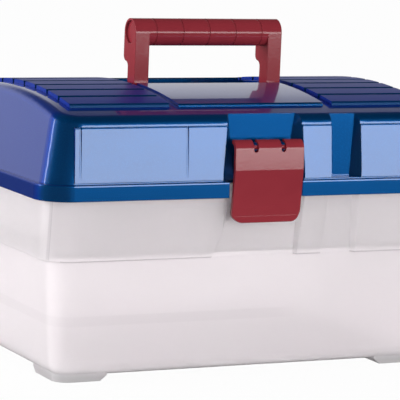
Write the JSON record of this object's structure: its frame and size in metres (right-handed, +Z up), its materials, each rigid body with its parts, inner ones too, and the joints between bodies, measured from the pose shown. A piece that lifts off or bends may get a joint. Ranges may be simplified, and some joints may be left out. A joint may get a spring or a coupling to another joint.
{
  "type": "plastic storage box",
  "caption": "Carry box with a crowned, ribbed lid, a folding handle in a well, a front latch over a catch, two rear hinges and a lift-out tray with loose dividers.",
  "frame": {"origin": "On the ground, midway between the box's outermost front and back points and between its ends", "axes": "X along the front, to the right seen from the front; Y from the front to the back; Z up"},
  "size_m": [0.34, 0.232, 0.2501],
  "materials": {
    "tub_plastic": "frosted translucent polypropylene",
    "lid_plastic": "glossy moulded plastic",
    "trim_plastic": "glossy moulded plastic",
    "tray_plastic": "satin translucent polypropylene",
    "pin_steel": "drawn wire"
  },
  "bodies": {
    "base": {"base_tub": "tub_plastic", "hinge_pin_left": "pin_steel", "hinge_pin_right": "pin_steel"},
    "lid": {"lid": "lid_plastic"},
    "handle": {"carry_handle": "trim_plastic"},
    "latch": {"front_latch": "trim_plastic"},
    "tray": {"lift_out_tray": "tray_plastic"},
    "divider_front_1": {"tray_divider_front_1": "tray_plastic"},
    "divider_front_2": {"tray_divider_front_2": "tray_plastic"},
    "divider_front_3": {"tray_divider_front_3": "tray_plastic"},
    "divider_back_1": {"tray_divider_back_1": "tray_plastic"},
    "divider_back_2": {"tray_divider_back_2": "tray_plastic"}
  },
  "joints": [
    {"name": "lid_hinge", "type": "hinge", "parent": "base", "child": "lid", "pos_m": [0, 0.1118, 0.1273], "axis": [-1, 0, 0], "range_deg": [0, 100]},
    {"name": "handle_pivot", "type": "hinge", "parent": "lid", "child": "handle", "pos_m": [0, -0.0054, 0.1945], "axis": [-1, 0, 0], "range_deg": [0, 84]},
    {"name": "latch_pivot", "type": "hinge", "parent": "lid", "child": "latch", "pos_m": [0, -0.1113, 0.1679], "axis": [-1, 0, 0], "range_deg": [0, 100]},
    {"name": "tray_lift", "type": "slide", "parent": "base", "child": "tray", "axis": [0, 0, 1], "range_m": [0, 0.018]},
    {"name": "divider_front_1_lift", "type": "slide", "parent": "tray", "child": "divider_front_1", "axis": [0, 0, 1], "range_m": [0, 0.033]},
    {"name": "divider_front_2_lift", "type": "slide", "parent": "tray", "child": "divider_front_2", "axis": [0, 0, 1], "range_m": [0, 0.033]},
    {"name": "divider_front_3_lift", "type": "slide", "parent": "tray", "child": "divider_front_3", "axis": [0, 0, 1], "range_m": [0, 0.033]},
    {"name": "divider_back_1_lift", "type": "slide", "parent": "tray", "child": "divider_back_1", "axis": [0, 0, 1], "range_m": [0, 0.033]},
    {"name": "divider_back_2_lift", "type": "slide", "parent": "tray", "child": "divider_back_2", "axis": [0, 0, 1], "range_m": [0, 0.033]}
  ]
}
